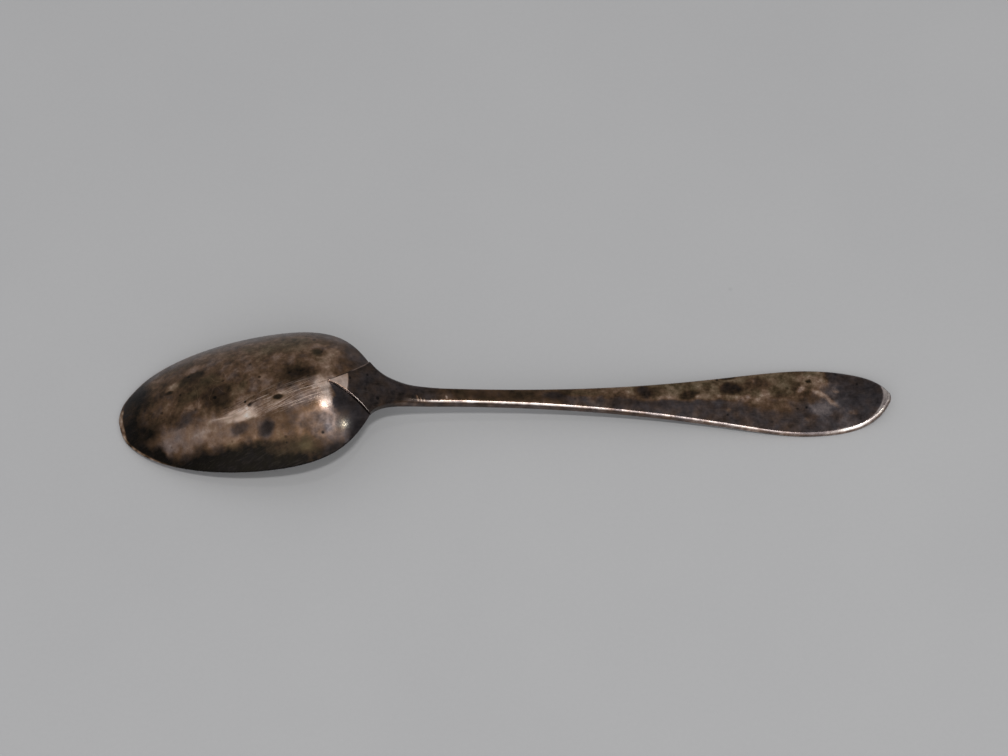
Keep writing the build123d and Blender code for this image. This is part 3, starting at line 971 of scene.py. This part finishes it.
def tarnished_silver_with_painted_light(name, scratch_turn):
    """Old silver under an uneven brown and black film, rubbed bare in places, scratched and pitted, with
    painted shade, reflections and glow carried in the film.
    """
    n = Nodes(name)
    place = n.millimetres()
    painted = n.attribute("film")
    rub = n.attribute("rub")
    gloss = n.attribute("gloss")

    # Mottling of three sizes, fainter where the film is thin or thick
    broad = n.noise(place, scale=0.42)
    mottle = n.noise(place, scale=1.2)
    grain = n.noise(place, scale=2.6, roughness=0.7)
    patches = n.spread(broad, (0.3, 0.7), (-0.2, 0.2))
    patches = n.plus(patches, n.spread(mottle, (0.32, 0.68), (-0.11, 0.11)))
    patches = n.plus(patches, n.spread(grain, (0.3, 0.7), (-0.07, 0.07)))
    patches = n.times(patches, n.spread(painted, (0.6, 1.0), (1.0, 0.3)))
    patches = n.times(patches, n.spread(painted, (0.05, 0.35), (0.4, 1.0)))
    patches = n.times(patches, n.attribute("patchy"))
    film = n.plus(painted, patches)

    # Long scratches where it is rubbed: some cut the film, and some hold dirt
    long_place = n.millimetres(-scratch_turn, stretch=(0.06, 5.0, 1.0))
    cross_place = n.millimetres(-scratch_turn - 9, stretch=(0.1, 7.0, 1.0))
    long_lines = n.noise(long_place, scale=1.0, detail=3.0, roughness=0.65)
    cross_lines = n.noise(cross_place, scale=1.0, detail=2.0, roughness=0.6)
    long_cuts = n.spread(long_lines, (0.56, 0.66), (0, 0.8))
    cross_cuts = n.spread(cross_lines, (0.6, 0.68), (0, 0.7))
    cuts = n.times(n.larger(long_cuts, cross_cuts), rub)
    long_dirt = n.spread(long_lines, (0.42, 0.34), (0, 0.3))
    cross_dirt = n.spread(cross_lines, (0.36, 0.3), (0, 0.26))
    dirt = n.times(n.larger(long_dirt, cross_dirt), rub)
    film = n.plus(film, dirt)

    # Fine curved scratches, along a contour of soft noise
    from_contour = n.math("ABSOLUTE", n.minus(n.noise(place, scale=0.3, detail=1.0, roughness=0.3), 0.5))
    curls = n.times(n.spread(from_contour, (0.002, 0.008), (0.2, 0.0)), n.attribute("scuff"))
    film = n.minus(film, curls)

    # Pits, in one cell out of four, and none where it is glossy
    cells = n.add("ShaderNodeTexVoronoi", Vector=place, Scale=0.62)
    chance = n.add("ShaderNodeSeparateColor", Color=cells.outputs["Color"]).outputs[0]
    pit_here = n.spread(chance, (0.75, 0.95), (0.0, 1.0))
    pit_here = n.times(pit_here, n.spread(gloss, (0.4, 0.6), (1.0, 0.0)))
    pits = n.times(n.spread(cells.outputs["Distance"], (0.07, 0.24), (1.0, 0.0)), pit_here)
    film = n.plus(film, n.times(pits, 0.35), clamp=True)

    # Colour
    hue_noise = n.noise(place, scale=0.45, detail=3.0, roughness=0.5)
    hue = n.plus(n.attribute("cast"), n.spread(hue_noise, (0.3, 0.7), (-0.35, 0.35)))
    colour = n.ramp(film, BROWN_FILM)
    colour = n.blend(n.spread(hue, (0.0, 1.0), (0.0, 0.95)), colour, n.ramp(film, OLIVE_FILM))
    colour = n.blend(n.spread(hue, (0.0, -1.0), (0.0, 0.95)), colour, n.ramp(film, PURPLE_FILM))
    colour = n.blend(cuts, colour, SCRATCH_COLOUR)

    # Roughness and relief
    rough = n.plus(n.spread(film, (0.1, 0.8), (0.34, 0.26)), n.spread(mottle, (0.3, 0.7), (-0.05, 0.05)))
    rough = n.minus(rough, n.times(gloss, 0.12))
    height = n.minus(n.times(grain, 0.12), pits)
    height = n.plus(height, n.minus(cuts, dirt))
    bump = n.add("ShaderNodeBump", Height=height, Strength=0.18, Distance=0.05 * MM)
    return n.finish(Base_Color=colour, Roughness=rough, Metallic=1.0, Normal=bump.outputs[0])


def old_solder():
    """Dull grey solder with small pits."""
    n = Nodes("silver_solder")
    place = n.millimetres()
    mottle = n.noise(place, scale=2.5)
    colour = n.ramp(mottle, SOLDER_COLOURS)
    rough = n.spread(mottle, (0.3, 0.7), (0.55, 0.4))
    pits = n.noise(place, scale=7.0, detail=2.0)
    bump = n.add("ShaderNodeBump", Height=pits, Strength=0.3, Distance=0.03 * MM)
    return n.finish(Base_Color=colour, Roughness=rough, Metallic=1.0, Normal=bump.outputs[0])


def paper():
    """Pale grey paper with faint mottling, a fine tooth and specks."""
    n = Nodes("paper")
    place = n.millimetres()
    cloud = n.noise(place, scale=0.02)
    tooth = n.noise(place, scale=1.2, roughness=0.7)
    colour = n.ramp(n.plus(n.times(cloud, 0.6), n.times(tooth, 0.4)), PAPER_COLOURS)
    cells = n.add("ShaderNodeTexVoronoi", Vector=place, Scale=0.045)
    speck = n.spread(cells.outputs["Distance"], (0.012, 0.03), (0.35, 0.0))
    colour = n.blend(speck, colour, SPECK_COLOUR)
    bump = n.add("ShaderNodeBump", Height=tooth, Strength=0.12, Distance=0.05 * MM)
    return n.finish(Base_Color=colour, Roughness=0.9, Normal=bump.outputs[0])


# Pieces

BOWL_SCRATCH_TURN = 17  # degrees from the length of the spoon
HANDLE_SCRATCH_TURN = 3

points, faces, outside, inset = build_bowl()
dent_back(points, outside)
bowl = make_piece("silver_bowl", points, faces, finish_bowl(points, outside, inset))
bowl.data.materials.append(tarnished_silver_with_painted_light("tarnished_bowl_with_painted_light", BOWL_SCRATCH_TURN))
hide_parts("bowl")
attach(bowl, "root")

points, faces, edge, lower, side, brink = build_handle()
handle = make_piece("silver_handle", points, faces, finish_handle(points, edge, lower, side, brink))
handle.data.materials.append(tarnished_silver_with_painted_light("tarnished_handle_with_painted_light", HANDLE_SCRATCH_TURN))
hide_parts("handle")
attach(handle, "root")

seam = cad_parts["solder_seam"]
seam.data.materials.clear()
seam.data.materials.append(old_solder())

# Stage: a sheet of paper, just clear of the spoon

SHEET_REACH = 1.5  # metres from the middle to each side
SHEET_GAP = 0.02

corners = [(-1, -1), (1, -1), (1, 1), (-1, 1)]
sheet = bpy.data.meshes.new("paper_sheet")
sheet.from_pydata([(SHEET_REACH * x, SHEET_REACH * y, 0) for x, y in corners], [], [(0, 1, 2, 3)])
sheet.materials.append(paper())
floor = bpy.data.objects.new("paper_sheet", sheet)
floor.location.z = -SHEET_GAP * MM
bpy.context.scene.collection.objects.link(floor)

# Light: a key lamp high and slightly in front, a wide fill, two small dim lamps, and an even room

WARM_WHITE = (1.0, 0.99, 0.97)
COOL_WHITE = (0.99, 1.0, 1.0)
GREENISH = (0.9, 1.0, 0.8)
ROOM_COLOUR = (0.99, 0.99, 1.0, 1)
ROOM_STRENGTH = 0.485


def lamp(name, direction, distance, size, power, colour):
    """A rectangular lamp that faces the spoon. Its distance and size are in metres."""
    data = bpy.data.lights.new(name, "AREA")
    data.shape = "RECTANGLE"
    data.size = size[0]
    data.size_y = size[1]
    data.energy = power
    data.color = colour
    made = bpy.data.objects.new(name, data)
    made.location = Vector(direction).normalized() * distance
    made.rotation_euler = (-made.location).to_track_quat("-Z", "Y").to_euler()
    bpy.context.scene.collection.objects.link(made)


lamp("key_lamp", (0.05, -0.3, 0.95), distance=0.9, size=(0.10, 0.05), power=2.85, colour=WARM_WHITE)
lamp("front_fill", (0.0, -0.8, 0.6), distance=1.3, size=(2.0, 1.2), power=5.6, colour=COOL_WHITE)
lamp("high_lamp", (0.109, 0.005, 0.994), distance=1.2, size=(0.035, 0.035), power=0.6, colour=WARM_WHITE)
lamp("corner_lamp", (0.482, -0.315, 0.818), distance=1.2, size=(0.04, 0.04), power=0.4, colour=GREENISH)

world = bpy.data.worlds.new("room")
world.use_nodes = True
bpy.context.scene.world = world
background = world.node_tree.nodes["Background"]
background.inputs["Color"].default_value = ROOM_COLOUR
background.inputs["Strength"].default_value = ROOM_STRENGTH

# Camera: 60 degrees above the table, and half a metre away

SENSOR_WIDTH = 36.0
LENS = 101.65
CLIP_START = 0.01  # metres
EYE = Vector((-7.44, -252.65, 450.33)) * MM
BACKWARD = Vector((-0.01446, -0.49979, 0.86603)).normalized()

camera_data = bpy.data.cameras.new("camera")
camera_data.sensor_width = SENSOR_WIDTH
camera_data.lens = LENS
camera_data.clip_start = CLIP_START
camera = bpy.data.objects.new("camera", camera_data)
right = Vector((0, 0, 1)).cross(BACKWARD).normalized()
turned = Matrix((right, BACKWARD.cross(right), BACKWARD)).transposed().to_4x4()
camera.matrix_world = Matrix.Translation(EYE) @ turned
bpy.context.scene.collection.objects.link(camera)
bpy.context.scene.camera = camera
bpy.context.scene.view_settings.view_transform = "Standard"
